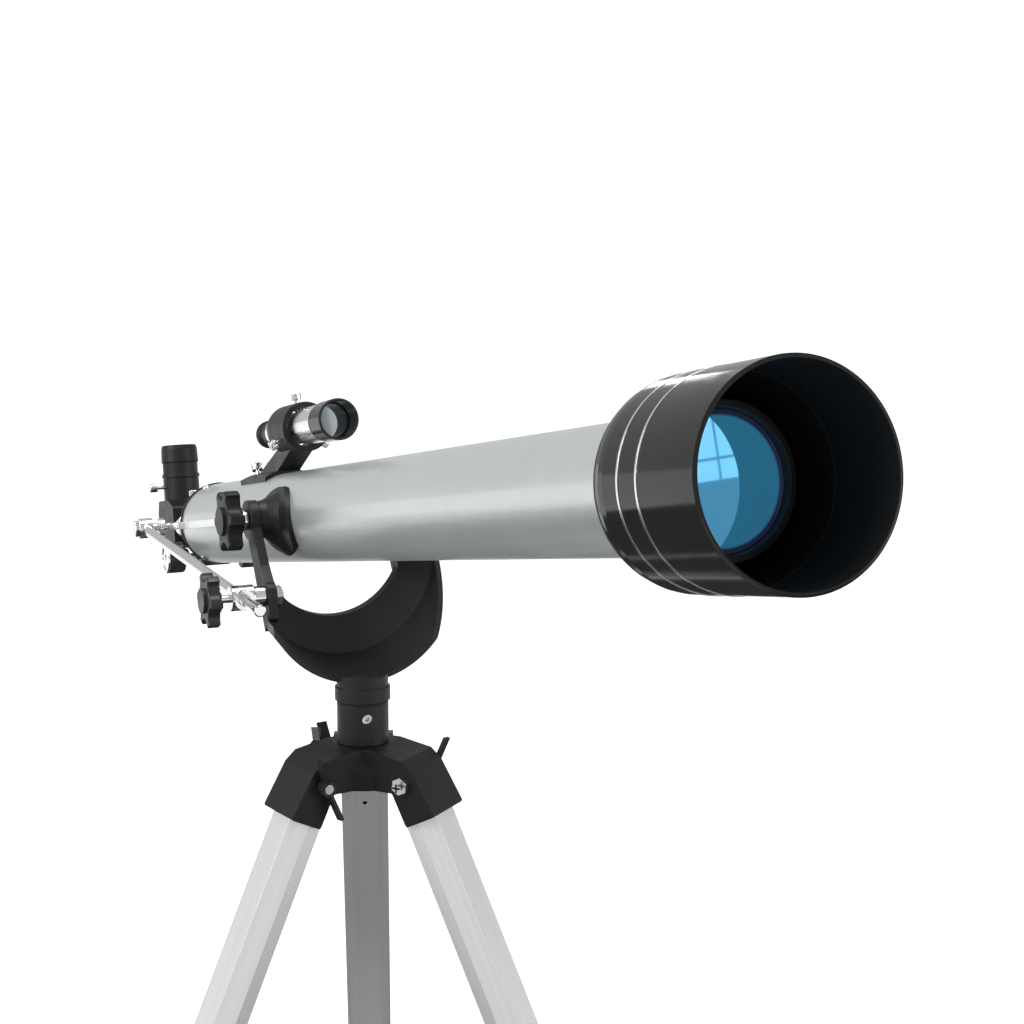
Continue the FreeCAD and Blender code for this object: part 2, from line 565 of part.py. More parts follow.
def altitude_lever():
    """Bright bar clamped on the near bolt, running back beside the tube."""
    eye = pipe(6.5, BOLT_R, V(0, -52.6, 0), V(0, -49.5, 0))
    tip = rod(6.5, V(-LEVER_LENGTH, -54.0, 0), V(-LEVER_LENGTH, -49.5, 0))
    bar = block(-LEVER_LENGTH, -6, -52.4, -49.6, -2.6, 2.6)
    return eye.fuse(bar).fuse(tip).cut(rod(BOLT_R, V(0, -60, 0), V(0, -40, 0)))


def dish(rings):
    """Solid through circles that stand across the tube, each as (x, centre height, radius)."""
    wires = [Part.Wire(Part.Circle(V(x, 0, z), X_AXIS, r).toShape()) for x, z, r in rings]
    return Part.makeLoft(wires, True, True)


def yoke_band():
    """Dished half ring that leans forward from the arms to the neck."""
    band = dish(BAND_BACK).cut(dish(BAND_FRONT))
    far = 200.0
    top = plate([V(0, -far, BAND_TOP_NEAR), V(0, far, BAND_TOP_FAR), V(0, far, far), V(0, -far, far)],
                V(far, 0, 0))
    near_side = plate([V(0, -YOKE_OUT + 7, -far), V(100, -YOKE_OUT - 10, -far), V(100, -far, -far),
                       V(0, -far, -far)], V(0, 0, 2 * far))
    front = plate([V(BAND_EDGE_X, -far, 0), V(BAND_EDGE_X + far, -far, -BAND_EDGE_SLOPE * far),
                   V(BAND_EDGE_X + far, -far, far), V(BAND_EDGE_X, -far, far)], V(0, 2 * far, 0))
    return band.cut(top).cut(near_side).cut(front)


def yoke_arm(side):
    """Slender arm from the pivot boss down to the band; the near one carries the clamp's boss."""
    y0, y1 = sorted((side * YOKE_IN, side * YOKE_OUT))
    outline = [(-7, 3), (8, 3), (17, -10), (28, -25), (30, -56), (14, -31), (0, -10)]
    if side < 0:
        outline[4:5] = [(45, -41), (46, -56), (36, -66), (30, -56)]
    arm = plate([V(x, y0, z) for x, z in outline], V(0, y1 - y0, 0))
    arm = arm.fuse(rod(12.5, V(0, y0, 0), V(0, y1, 0)))
    if side < 0:
        arm = arm.fuse(rod(9.0, V(CLAMP_DX, y0, CLAMP_DZ), V(CLAMP_DX, y1, CLAMP_DZ)))
    return arm


def yoke():
    """Fork of two arms and a dished band, with neck and azimuth spindle."""
    column = PIVOT_OFFSET
    base, lip, top = NECK_BASE, NECK_BASE + 27.0, NECK_BASE + 43.0
    neck = turned([(base, 0), (base, NECK_R), (lip - 1, NECK_R), (lip, NECK_R + 1.2),
                   (lip + 8, NECK_R + 1.2), (lip + 9, NECK_R), (top, NECK_R), (top, 0)],
                  V(column, 0, 0), Z_AXIS)
    neck = neck.cut(dish(BAND_FRONT))
    spindle = rod(SPINDLE_R - FIT, V(column, 0, NECK_BASE - 24), V(column, 0, NECK_BASE + 1))
    body = yoke_band().fuse(neck).fuse(spindle).fuse(yoke_arm(-1)).fuse(yoke_arm(1))
    body = body.removeSplitter()
    body = body.cut(rod(BOLT_R + FIT, V(0, -60, 0), V(0, 60, 0)))
    body = body.cut(rod(BOLT_R + FIT, V(CLAMP_DX, -60, CLAMP_DZ), V(CLAMP_DX, -30, CLAMP_DZ)))
    body = body.cut(rod(CLAMP_SPOT_R, V(CLAMP_DX, -YOKE_IN, CLAMP_DZ), V(CLAMP_DX, -20, CLAMP_DZ)))
    body = body.cut(rod(CLAMP_SPOT_R + 0.5, V(CLAMP_DX, -80, CLAMP_DZ), V(CLAMP_DX, -YOKE_OUT, CLAMP_DZ)))
    hole_dir, hole_at = neck_hole()
    body = body.cut(rod(NECK_HOLE_R, hole_at + hole_dir * 8, hole_at + hole_dir * 20))
    groove = pipe(NECK_R + 1, NECK_R - 0.5, V(column, 0, -106), V(column, 0, -105))
    return body.cut(groove)


def neck_hole():
    """Direction and place of the screw hole in the neck."""
    angle = math.radians(-8)
    return V(math.cos(angle), math.sin(angle), 0), V(PIVOT_OFFSET, 0, -114)


def neck_screw():
    """Grub screw sunk in the neck."""
    hole_dir, hole_at = neck_hole()
    screw = rod(NECK_HOLE_R, hole_at + hole_dir * 8, hole_at + hole_dir * 13)
    return screw.cut(hexagon(3.0, 4.0, hole_at + hole_dir * 10.5, hole_dir))


def clamp_point():
    """Centre of the rod clamp, in the pivot's frame."""
    return V(CLAMP_DX, ROD_Y, CLAMP_DZ)


def lever_tip():
    """Centre of the rod's rear pivot, in the pivot's frame."""
    angle = math.radians(TUBE_ALTITUDE)
    return V(-LEVER_LENGTH * math.cos(angle), ROD_Y, -LEVER_LENGTH * math.sin(angle))


def slow_motion_rod():
    """Round rod with a swivel block and pin at its rear end."""
    rear, clamp = lever_tip(), clamp_point()
    along = (clamp - rear).normalize()
    bar = rod(ROD_R, rear, clamp + along * ROD_BEYOND)
    bar = soft_edges(bar, 0.8, lambda e: e.BoundBox.XMin > CLAMP_DX and isinstance(e.Curve, Part.Circle))
    swivel = rod(7.5, V(rear.x, -68.5, rear.z), V(rear.x, -58.5, rear.z))
    pin = rod(3.2, V(rear.x, -71.0, rear.z), V(rear.x, -54.4, rear.z))
    cap = hexagon(11.0, 4.0, V(rear.x, -71.5, rear.z), Y_AXIS)
    return bar.fuse(swivel).fuse(pin).fuse(cap)


def rod_clamp():
    """Swivelling clamp block on a cross bolt through the yoke arm."""
    at = clamp_point()
    along = (at - lever_tip()).normalize()
    body = rod(8.0, V(at.x, -71.5, at.z), V(at.x, -56.5, at.z))
    body = soft_edges(body, 0.8, lambda e: isinstance(e.Curve, Part.Circle))
    collar = rod(6.4, at - along * 8.5, at + along * 8.5)
    nut_y = GAP - YOKE_IN
    bolt = rod(BOLT_R, V(at.x, -58, at.z), V(at.x, nut_y + 5.5, at.z))
    washer = rod(6.5, V(at.x, -57, at.z), V(at.x, -49.4, at.z))
    nut = hexagon(11.0, 4.0, V(at.x, nut_y, at.z), Y_AXIS)
    whole = body.fuse(collar).fuse(bolt).fuse(washer).fuse(nut)
    whole = whole.cut(rod(ROD_R + FIT, at - along * 30, at + along * 30))
    return whole.cut(rod(2.5 + FIT, V(at.x, -75, at.z), V(at.x, -66, at.z)))


def clamp_knob():
    """Lobed knob whose screw presses on the rod in the clamp."""
    at = clamp_point()
    knob = lobed_knob(17.5, 8.0, 1.0, 6, V(at.x, -80.0, at.z), V(0, -1, 0))
    return knob.fuse(rod(2.5, V(at.x, -84, at.z), V(at.x, -ROD_R + ROD_Y - 0.3, at.z)))


# ---------------------------------------------------------------- tripod

def head_lobe():
    """One leg socket of the head: closed outside and on both sides, open inward."""
    half = LEG_W / 2 + 0.6 + CHEEK
    z0 = HEAD_TOP
    outline = [(0, 0), (16, 0), (38, -4), (45, -10), (60.5, -36), (41, -45.5), (31, -25), (0, -25)]
    lobe = plate([V(r, -half, z0 + z) for r, z in outline], V(0, 2 * half, 0))
    return soft_edges(lobe, 1.6, lambda e: e.BoundBox.YLength > 30 and e.BoundBox.XMin > 30)


def leg_room():
    """Room for one leg in its socket, open towards the column so that the leg can fold."""
    half = LEG_W / 2 + 0.6
    room = plate([V(-26, -half, 11), V(-6, -half, 11), V(5, -half, 9), V(LEG_D / 2 + GAP, -half, -2),
                  V(LEG_D / 2 + GAP, -half, -80), V(-26, -half, -80)], V(0, 2 * half, 0))
    return room


def tripod_head():
    """Moulded head with three leg sockets and the azimuth bore."""
    head = turned([(-25, 0), (-25, 26), (-13, 26), (-3, 19.5), (0, 18.5), (0, 0)],
                  V(0, 0, HEAD_TOP), Z_AXIS)
    for azimuth in LEG_AZIMUTHS:
        head = head.fuse(around(head_lobe(), azimuth))
    core = rod(16.5, V(0, 0, HEAD_TOP - 25), V(0, 0, HEAD_TOP - 0.2))
    for azimuth in LEG_AZIMUTHS:
        head = head.cut(on_leg(leg_room(), azimuth))
        head = head.cut(on_leg(rod(BOLT_R, V(0, -30, 0), V(0, 30, 0)), azimuth))
    head = head.fuse(core)
    head = head.cut(rod(SPINDLE_R, V(0, 0, HEAD_TOP - 30), V(0, 0, HEAD_TOP + 5)))
    direction = around_vector(220.0)
    start = V(0, 0, HEAD_TOP - 9)
    return head.cut(rod(2.5 + FIT, start, start + direction * 40))


def around_vector(azimuth):
    """Horizontal unit vector at an azimuth."""
    angle = math.radians(azimuth)
    return V(math.cos(angle), math.sin(angle), 0)


def azimuth_lock_screw():
    """Wing screw that presses on the azimuth spindle."""
    direction = around_vector(220.0)
    start = V(0, 0, HEAD_TOP - 9)
    shank = rod(2.5, start + direction * (SPINDLE_R + 0.3), start + direction * 34)
    wing = wing_part(4.5, 13.0, 2.2, 10.0, start + direction * 31, direction, V(0, 0, 1))
    wing.rotate(start, direction, 25)
    return shank.fuse(wing)


def hinge_bolts():
    """Hexagon-head bolts through the sockets and the leg tops."""
    half = LEG_W / 2 + 0.6 + CHEEK
    bolts = []
    for azimuth in LEG_AZIMUTHS:
        bolt = rod(BOLT_R - FIT, V(0, -half, 0), V(0, half + 7, 0))
        head = hexagon(9.5, 3.5, V(0, -half - 3.5, 0), Y_AXIS)
        bolts.append(on_leg(bolt.fuse(head), azimuth))
    return Part.makeCompound(bolts)


def wing_nuts():
    """Wing nuts on the hinge bolts."""
    half = LEG_W / 2 + 0.6 + CHEEK
    nuts = []
    for azimuth in LEG_AZIMUTHS:
        nut = wing_part(4.8, WING_SPAN, 2.0, 12.0, V(0, half, 0), Y_AXIS, V(0.68, 0, 0.73).normalize())
        nut = nut.cut(rod(BOLT_R - FIT, V(0, half - 1, 0), V(0, half + 12, 0)))
        nuts.append(on_leg(nut, azimuth))
    return Part.makeCompound(nuts)


def leg_section(inset, z0, z1):
    """Leg extrusion: narrow flat outside, flaring to full width inside."""
    half, nose, depth = LEG_W / 2 - inset, LEG_NOSE_W / 2 - inset * 0.7, LEG_D / 2 - inset
    points = [V(-depth, -half, z0), V(-depth, half, z0), V(-depth + 8, half, z0),
              V(depth, nose, z0), V(depth, -nose, z0), V(-depth + 8, -half, z0)]
    return plate(points, V(0, 0, z1 - z0))


def leg_outer():
    """Upper leg tube with the hinge hole and a chamfered top."""
    leg = leg_section(0, -OUTER_END, -OUTER_TOP)
    leg = leg.cut(leg_section(LEG_WALL, -OUTER_END - 1, -OUTER_TOP - 18.0))
    chamfer = plate([V(3, -20, 8), V(12, -20, -6), V(20, -20, 8)], V(0, 40, 0))
    leg = leg.cut(chamfer)
    leg = leg.cut(rod(BOLT_R + FIT, V(0, -20, 0), V(0, 20, 0)))
    for z in (-20.0, -34.0):
        leg = leg.cut(rod(1.6, V(-15, 0, z), V(-5, 0, z)))
    return leg


def leg_lock():
    """Black collar at the foot of the upper leg that guides the lower leg."""
    z0, z1 = -OUTER_END - 14, -OUTER_END + 30
    screw_z = -OUTER_END - 6
    collar = leg_section(-2.6, z0, z1).fuse(rod(7.5, V(8, 0, screw_z), V(17, 0, screw_z)))
    collar = collar.cut(leg_section(0, -OUTER_END, z1 + 1))
    collar = collar.cut(leg_section(LEG_WALL + 0.2, z0 - 1, z1))
    return collar.cut(rod(SHAFT_R + FIT, V(0, 0, screw_z), V(20, 0, screw_z)))


def leg_lock_knob():
    """Screw with a round ribbed knob that clamps the lower leg."""
    knob = lobed_knob(10.5, 8.0, 0.8, 5, V(20, 0, -OUTER_END - 6), X_AXIS)
    tip = LEG_D / 2 - LEG_WALL - 0.2 + 0.1
    return knob.fuse(rod(2.5, V(tip, 0, -OUTER_END - 6), V(25, 0, -OUTER_END - 6)))


def leg_inner():
    """Lower leg tube."""
    leg = leg_section(LEG_WALL + 0.5, -FOOT_TOP, -INNER_TOP)
    return leg.cut(leg_section(LEG_WALL * 2 + 0.5, -FOOT_TOP - 1, -INNER_TOP + 1))


def foot():
    """Rubber foot plugged on the lower leg, cut flat where it stands."""
    splay = math.radians(SPLAY)
    end = -HINGE_Z / math.cos(splay)
    shoe = leg_section(-1.6, end - 20, -FOOT_TOP + 26)
    shoe = shoe.cut(leg_section(LEG_WALL + 0.5, -FOOT_TOP, -FOOT_TOP + 30))
    return shoe


def trimmed_foot(azimuth):
    """Foot in place, with everything under the floor removed."""
    placed = on_leg(foot(), azimuth)
    return placed.cut(block(-900, 900, -900, 900, -200, 0))


def brace_ends():
    """Outer and inner pivot of a brace in the radial plane (x = radius, z = height)."""
    splay = math.radians(SPLAY)
    outer = V(HINGE_R + BRACE_S * math.sin(splay) + BRACE_IN * math.cos(splay), 0,
              HINGE_Z - BRACE_S * math.cos(splay) + BRACE_IN * math.sin(splay))
    run = outer.x - SPIDER_PIN_R
    inner = V(SPIDER_PIN_R, 0, outer.z + run * math.tan(math.radians(BRACE_RISE)))
    return outer, inner


def brace_bracket():
    """Clevis bracket on the leg's inner face, in the leg frame."""
    face = -LEG_D / 2
    bracket = block(face - 1.5, face, -11, 11, -BRACE_S - 12, -BRACE_S + 12)
    for side in (-1, 1):
        y0, y1 = sorted((side * (BRACE_HALF_W + 0.6), side * (BRACE_HALF_W + 3.0)))
        ear = block(BRACE_IN - 5, face, y0, y1, -BRACE_S - 8, -BRACE_S + 8)
        bracket = bracket.fuse(ear)
    reach = BRACE_HALF_W + 4.5
    return bracket.fuse(rod(BRACE_PIN_R, V(BRACE_IN, -reach, -BRACE_S), V(BRACE_IN, reach, -BRACE_S)))


def brace():
    """Flat strut from the leg bracket to the spider, slotted at its inner end."""
    outer, inner = brace_ends()
    along = inner - outer
    length = along.Length
    slot, slot_half, past_pin = 21.0, 4.0, 3.0
    bar = block(0, length + 6, -BRACE_HALF_W, BRACE_HALF_W, -BRACE_HALF_H, BRACE_HALF_H)
    bar = bar.fuse(rod(BRACE_HALF_H, V(0, -BRACE_HALF_W, 0), V(0, BRACE_HALF_W, 0)))
    bar = bar.cut(rod(BRACE_PIN_R + FIT, V(0, -4, 0), V(0, 4, 0)))
    bar = bar.cut(block(length - slot, length + past_pin, -4, 4, -slot_half, slot_half))
    bar.Placement = FreeCAD.Placement(outer, FreeCAD.Rotation(X_AXIS, along))
    return bar


def spider_height():
    """Height of the spider's pins above the floor."""
    return brace_ends()[1].z


def spider():
    """Centre piece under the tray with three forked arms and their pins."""
    z = spider_height()
    whole = rod(SPIDER_HUB_R, V(0, 0, z - SPIDER_DEPTH), V(0, 0, z + TRAY_RISE))
    whole = whole.fuse(rod(13, V(0, 0, z + TRAY_RISE - 5), V(0, 0, z + TRAY_RISE)))
    for azimuth in LEG_AZIMUTHS:
        for side in (-1, 1):
            y0, y1 = sorted((side * (BRACE_HALF_W + 1.0), side * (BRACE_HALF_W + 3.6)))
            whole = whole.fuse(around(block(0, SPIDER_PIN_R + 4, y0, y1, z - 5, z + 5), azimuth))
        pin = rod(1.8, V(SPIDER_PIN_R, -7.5, z), V(SPIDER_PIN_R, 7.5, z))
        whole = whole.fuse(around(pin, azimuth))
    return whole.cut(rod(BOLT_R, V(0, 0, z - SPIDER_DEPTH - 1), V(0, 0, z + TRAY_RISE + 1)))


def tray():
    """Three-lobed accessory tray with a raised rim and eyepiece holes between the legs."""
    z = spider_height() + TRAY_RISE
    top = z + TRAY_HEIGHT
    rim = TRAY_INRADIUS - TRAY_RIM
    disc = rod(TRAY_LOBE_R, V(0, 0, z), V(0, 0, top))
    hollow = rod(TRAY_LOBE_R - TRAY_RIM, V(0, 0, z + TRAY_FLOOR), V(0, 0, top + 1))
    for azimuth in LEG_AZIMUTHS:
        disc = disc.cut(around(block(TRAY_INRADIUS, 200, -150, 150, z - 1, top + 1), azimuth))
        hollow = hollow.cut(around(block(rim, 200, -150, 150, z, top + 2), azimuth))
    body = soft_edges(disc, 4.0, lambda e: e.BoundBox.ZLength > TRAY_HEIGHT - 0.5).cut(hollow)
    for azimuth in LEG_AZIMUTHS:
        at = around_vector(azimuth + 60.0) * TRAY_HOLE_AT
        body = body.cut(rod(TRAY_HOLE_R, V(at.x, at.y, z - 1), V(at.x, at.y, top + 1)))
    return body.cut(rod(BOLT_R, V(0, 0, z - 1), V(0, 0, top + 1)))


def tray_bolt():
    """Bolt that holds the tray on the spider, with a round head and a nut underneath."""
    z = spider_height()
    under = z - SPIDER_DEPTH
    floor = z + TRAY_RISE + TRAY_FLOOR
    head = rod(8.0, V(0, 0, floor), V(0, 0, floor + 4.8))
    head = soft_edges(head, 1.2, lambda e: e.BoundBox.ZMin > floor + 4)
    nut = hexagon(10, 4, V(0, 0, under - 4), Z_AXIS)
    return rod(BOLT_R, V(0, 0, under), V(0, 0, floor)).fuse(head).fuse(nut)


# ---------------------------------------------------------------- write every piece

def tube_nodes():
    """Nodes that are modelled in the tube's frame."""
    return {
        "main_tube": main_tube(), "objective_cell": objective_cell(),
        "objective_lenses": objective_lenses(), "lens_retaining_ring": lens_retaining_ring(),
        "dew_shield": dew_shield(), "dew_shield_rings": dew_shield_rings(),
        "tube_baffles": tube_baffles(), "focuser_housing": focuser_housing(),
        "focuser_screws": focuser_screws(), "drawtube": drawtube(),
        "drawtube_rack": drawtube_rack(), "pinion_shaft": pinion_shaft(),
        "focus_knobs": focus_knobs(), "drawtube_set_screw": drawtube_set_screw(),
        "diagonal_housing": diagonal_housing(), "diagonal_mirror": diagonal_mirror(),
        "diagonal_set_screw": diagonal_set_screw(), "eyepiece_body": eyepiece_body(),
        "eyepiece_lenses": eyepiece_lenses(), "finder_bracket": finder_bracket(),
        "finder_body": finder_body(), "finder_front_cell": finder_front_cell(),
        "finder_eyepiece": finder_eyepiece(), "finder_lenses": finder_lenses(),
        "finder_screws": finder_screws(), "saddle_plates": saddle_plates(),
        "altitude_bolts": altitude_bolts(), "altitude_knob_near": altitude_knob(-1, NEAR_KNOB_Y),
        "altitude_knob_far": altitude_knob(1, FAR_KNOB_Y), "altitude_lever": altitude_lever(),
    }


def mount_nodes():
    """Nodes that are modelled in the pivot's level frame."""
    return {"yoke": yoke(), "neck_screw": neck_screw(), "slow_motion_rod": slow_motion_rod(),
            "rod_clamp": rod_clamp(), "clamp_knob": clamp_knob()}


def tripod_nodes():
    """Nodes that are modelled straight in the row's frame."""
    nodes = {"tripod_head": tripod_head(), "azimuth_lock_screw": azimuth_lock_screw(),
             "hinge_bolts": hinge_bolts(), "wing_nuts": wing_nuts(), "spider": spider(),
             "accessory_tray": tray(), "tray_bolt": tray_bolt()}
    for number, azimuth in enumerate(LEG_AZIMUTHS, start=1):
        upper = Part.makeCompound([leg_outer(), brace_bracket()])
        nodes["leg_%d_outer" % number] = on_leg(upper, azimuth)
        nodes["leg_%d_collar" % number] = on_leg(leg_lock(), azimuth)
        nodes["leg_%d_lock_knob" % number] = on_leg(leg_lock_knob(), azimuth)
        nodes["leg_%d_inner" % number] = on_leg(leg_inner(), azimuth)
        nodes["leg_%d_foot" % number] = trimmed_foot(azimuth)
        nodes["leg_%d_brace" % number] = around(brace(), azimuth)
    return nodes


def all_nodes():
    """Every node in its place."""
    nodes = {name: on_tube(shape) for name, shape in tube_nodes().items()}
    nodes.update({name: on_mount(shape) for name, shape in mount_nodes().items()})
    nodes.update(tripod_nodes())
    return nodes


os.makedirs("parts", exist_ok=True)
for node, solid in all_nodes().items():
    solid.exportStep("parts/" + node + ".step")
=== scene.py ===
import json
import math

import bpy
from mathutils import Matrix, Vector


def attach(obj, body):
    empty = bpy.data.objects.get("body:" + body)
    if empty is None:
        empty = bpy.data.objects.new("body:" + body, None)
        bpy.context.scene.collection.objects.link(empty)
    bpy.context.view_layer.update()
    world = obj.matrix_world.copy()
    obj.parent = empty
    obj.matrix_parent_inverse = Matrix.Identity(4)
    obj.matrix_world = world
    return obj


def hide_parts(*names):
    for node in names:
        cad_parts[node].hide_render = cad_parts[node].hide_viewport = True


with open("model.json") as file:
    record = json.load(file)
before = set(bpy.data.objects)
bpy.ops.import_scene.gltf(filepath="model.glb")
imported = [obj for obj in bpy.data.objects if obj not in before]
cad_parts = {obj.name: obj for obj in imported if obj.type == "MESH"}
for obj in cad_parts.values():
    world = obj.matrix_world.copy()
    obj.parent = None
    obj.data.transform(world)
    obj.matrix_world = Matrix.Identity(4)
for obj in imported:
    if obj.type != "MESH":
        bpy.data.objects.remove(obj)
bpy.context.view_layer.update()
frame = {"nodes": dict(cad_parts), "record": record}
NODES = frame["nodes"]

# Driving sizes of the part, in metres and degrees.
PIVOT = Vector((-0.080, 0.0, 1.310))
TUBE_ALTITUDE = math.radians(9.8)
LEG_AZIMUTHS = (160.0, 280.0, 40.0)
SPLAY = math.radians(24.4)
HINGE_R, HINGE_Z = 0.038, 1.160
HINGE_HEAD_OUT = 0.0258
RECESS_LONG, RECESS_SHORT, RECESS_DEPTH = 0.0026, 0.0006, 0.0004
RECESS_PROUD = 0.00012
SHIELD_INSIDE_R = 0.0448
SHIELD_MIDDLE = 0.54
LENS_FACE, LENS_R, LENS_RIM = 0.530, 0.0306, 0.0264
KNOB_FACE = 0.0358
CLAMP_SHAFT = 0.0785

# Bevel radii that soften edges in the materials, in metres.
FINE_BEVEL, BROAD_BEVEL = 0.0004, 0.0005
WEAR_RADIUS = 0.0006

# Studio: aim, light levels, and the size of floor and card, in metres.
STUDIO_CENTRE = Vector((0.1, 0.0, 1.3))
SEEN_LEVEL, LIT_LEVEL, FLOOR_GLOW = 1.0, 0.56, 0.62
FLOOR_HALF, CARD_HALF, CARD_LIFT = 40.0, 3.3, 0.002
STREAK_AWAY = 4.0
WINDOW_AWAY, WINDOW_GLOW = 2.0, 2.3
WINDOW_COLUMNS = ((-0.40, -0.239), (-0.231, -0.130), (-0.122, 0.10))
WINDOW_ROWS = ((-0.275, -0.215), (-0.207, 0.10))


# ---------------------------------------------------------------- places

def tube_point(along, across, up):
    """Point given in the tube's frame: along the tube, along Y, and square to both."""
    c, s = math.cos(TUBE_ALTITUDE), math.sin(TUBE_ALTITUDE)
    return PIVOT + Vector((along * c - up * s, across, along * s + up * c))


def direction(azimuth, elevation):
    """Unit vector at an azimuth and elevation in degrees."""
    a, e = math.radians(azimuth), math.radians(elevation)
    return Vector((math.cos(a) * math.cos(e), math.sin(a) * math.cos(e), math.sin(e)))


# ---------------------------------------------------------------- material graphs

class Graph:
    """A material whose nodes are added one call at a time."""

    def __init__(self, name):
        self.material = bpy.data.materials.new(name)
        self.material.use_nodes = True
        self.tree = self.material.node_tree
        self.shader = self.tree.nodes["Principled BSDF"]
        self.place = self.add("ShaderNodeTexCoord").outputs["Object"]

    def add(self, kind, inputs=(), **settings):
        node = self.tree.nodes.new(kind)
        for key, value in settings.items():
            setattr(node, key, value)
        for key, value in dict(inputs).items():
            if isinstance(value, bpy.types.NodeSocket):
                self.tree.links.new(value, node.inputs[key])
            else:
                node.inputs[key].default_value = value
        return node

    def math(self, operation, a, b=0.0, clamp=False):
        node = self.add("ShaderNodeMath", {0: a, 1: b}, operation=operation, use_clamp=clamp)
        return node.outputs[0]

    def vector(self, operation, a, b=(0, 0, 0), output="Vector"):
        node = self.add("ShaderNodeVectorMath", {0: a, 1: b}, operation=operation)
        return node.outputs[output]

    def rotate(self, vector, angle, axis):
        node = self.add("ShaderNodeVectorRotate", {"Vector": vector, "Angle": angle},
                        rotation_type=axis)
        return node.outputs[0]

    def noise(self, scale, detail=4.0, roughness=0.55, at=None):
        at = self.place if at is None else at
        node = self.add("ShaderNodeTexNoise", {"Vector": at, "Scale": scale, "Detail": detail,
                                               "Roughness": roughness})
        return node.outputs["Fac"]

    def spread(self, value, low, high, start=0.0, end=1.0):
        node = self.add("ShaderNodeMapRange", {"Value": value, "From Min": start, "From Max": end,
                                               "To Min": low, "To Max": high})
        return node.outputs["Result"]

    def mix(self, fac, a, b):
        node = self.add("ShaderNodeMix", data_type="RGBA")
        for socket, value in ((node.inputs[0], fac), (node.inputs[6], a), (node.inputs[7], b)):
            if isinstance(value, bpy.types.NodeSocket):
                self.tree.links.new(value, socket)
            else:
                socket.default_value = value
        return node.outputs[2]

    def along(self, turn_z, turn_y, scale):
        """Object coordinates turned about Z, then about Y, then scaled for grain."""
        level = self.rotate(self.place, -turn_z, "Z_AXIS")
        upright = self.rotate(level, -turn_y, "Y_AXIS")
        return self.vector("MULTIPLY", upright, scale)

    def from_axis(self):
        """Distance from the tube's axis."""
        local = self.vector("SUBTRACT", self.place, PIVOT)
        local = self.rotate(local, TUBE_ALTITUDE, "Y_AXIS")
        flat = self.vector("MULTIPLY", local, (0, 1, 1))
        return self.vector("LENGTH", flat, output="Value")

    def edge(self, radius):
        """How much the surface turns within a radius: 0 on flats, towards 1 on edges."""
        rounded = self.add("ShaderNodeBevel", {"Radius": radius}, samples=4).outputs[0]
        flat = self.add("ShaderNodeNewGeometry").outputs["Normal"]
        likeness = self.vector("DOT_PRODUCT", rounded, flat, output="Value")
        return self.math("SUBTRACT", 1.0, likeness, clamp=True)

    def bump(self, height, distance, strength=1.0, bevel=0.0):
        inputs = {"Height": height, "Distance": distance, "Strength": strength}
        if bevel:
            inputs["Normal"] = self.add("ShaderNodeBevel", {"Radius": bevel}, samples=4).outputs[0]
        node = self.add("ShaderNodeBump", inputs)
        self.link("Normal", node.outputs[0])

    def link(self, socket, value):
        self.tree.links.new(value, self.shader.inputs[socket])

    def set(self, **constants):
        for key, value in constants.items():
            self.shader.inputs[key.replace("_", " ")].default_value = value


def colour(r, g, b):
    return (r, g, b, 1.0)


def painted_tube():
    """Silver-grey metallic paint with fine flakes, faint cloudiness and orange peel."""
    g = Graph("tube_paint")
    cloud = g.noise(9.0, 3.0)
    base = g.mix(cloud, colour(0.515, 0.558, 0.552), colour(0.560, 0.600, 0.596))
    flakes = g.spread(g.noise(5200.0, 1.0), 0.90, 1.10, 0.30, 0.70)
    lit = g.vector("MULTIPLY", base, flakes)
    smudge = g.noise(38.0, 6.0, 0.65)
    g.link("Base Color", lit)
    g.link("Roughness", g.spread(smudge, 0.32, 0.42, 0.3, 0.7))
    g.set(Metallic=0.72, Coat_Weight=0.25, Coat_Roughness=0.14)
    g.bump(g.noise(620.0, 2.0), 0.00002, 0.5)
    return g.material


def black(name, shade, roughness, grain_scale, grain_depth, wear=0.10, coat=0.0):
    """Black finish: faint tone changes, grain, handling marks and lightly worn edges."""
    g = Graph(name)
    cloud = g.noise(24.0, 5.0)
    tone = g.mix(cloud, colour(*(shade * 0.8,) * 3), colour(*(shade * 1.25,) * 3))
    worn = g.math("MULTIPLY", g.spread(g.edge(WEAR_RADIUS), 0.0, 1.0, 0.03, 0.30),
                  g.spread(g.noise(140.0, 4.0), 0.0, wear * 2, 0.35, 0.7), clamp=True)
    g.link("Base Color", g.mix(worn, tone, colour(0.16, 0.16, 0.165)))
    marks = g.noise(70.0, 8.0, 0.7)
    g.link("Roughness", g.spread(marks, roughness - 0.06, roughness + 0.10, 0.3, 0.7))
    g.set(Coat_Weight=coat, Coat_Roughness=0.05, Specular_IOR_Level=0.26)
    g.bump(g.noise(grain_scale, 3.0), grain_depth, 0.6, bevel=BROAD_BEVEL)
    return g.material


